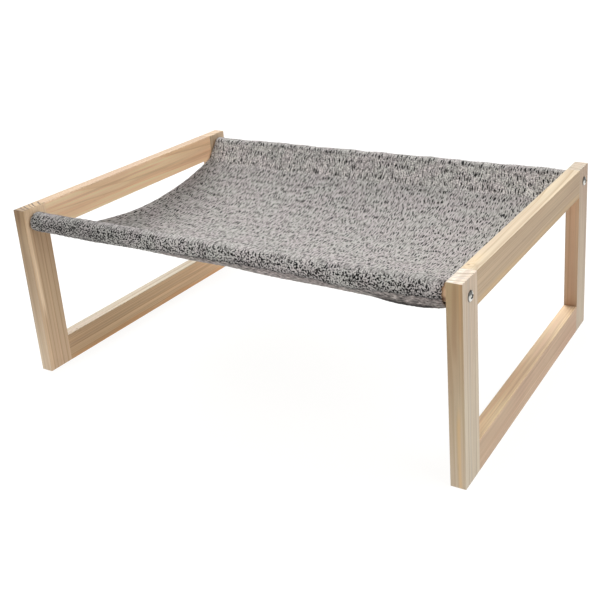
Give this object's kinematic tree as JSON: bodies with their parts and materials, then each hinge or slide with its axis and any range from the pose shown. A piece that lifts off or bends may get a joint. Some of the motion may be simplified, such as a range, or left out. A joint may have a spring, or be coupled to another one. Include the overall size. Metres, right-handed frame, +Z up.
{
  "type": "raised pet bed",
  "caption": "Raised pet bed: a sagging grey pile sling is sewn round two wooden rods, which join two open rectangular side frames of pale pine.",
  "frame": {"origin": "middle of the footprint, on the surface that the side frames stand on", "axes": "+X along the rods from the left frame to the right frame, +Y from front to rear, +Z up"},
  "size_m": [0.7062, 0.48, 0.26],
  "materials": {
    "pine": "planed and sanded, clear matt",
    "rod_wood": "turned and sanded, unfinished",
    "dowel_beech": "unfinished",
    "screw_zinc": "bright zinc plated",
    "insert_zinc": "zinc alloy, as cast",
    "pile_fabric": "short looped pile, grey with dark flecks"
  },
  "bodies": {
    "root": {"left_front_leg": "pine", "left_rear_leg": "pine", "right_front_leg": "pine", "right_rear_leg": "pine", "left_top_rail": "pine", "left_bottom_rail": "pine", "right_top_rail": "pine", "right_bottom_rail": "pine", "left_front_top_dowels": "dowel_beech", "left_front_bottom_dowels": "dowel_beech", "left_rear_top_dowels": "dowel_beech", "left_rear_bottom_dowels": "dowel_beech", "right_front_top_dowels": "dowel_beech", "right_front_bottom_dowels": "dowel_beech", "right_rear_top_dowels": "dowel_beech", "right_rear_bottom_dowels": "dowel_beech", "front_rod": "rod_wood", "rear_rod": "rod_wood", "front_left_insert": "insert_zinc", "front_left_screw": "screw_zinc", "front_right_insert": "insert_zinc", "front_right_screw": "screw_zinc", "rear_left_insert": "insert_zinc", "rear_left_screw": "screw_zinc", "rear_right_insert": "insert_zinc", "rear_right_screw": "screw_zinc", "sling_cloth": "pile_fabric"}
  },
  "joints": []
}
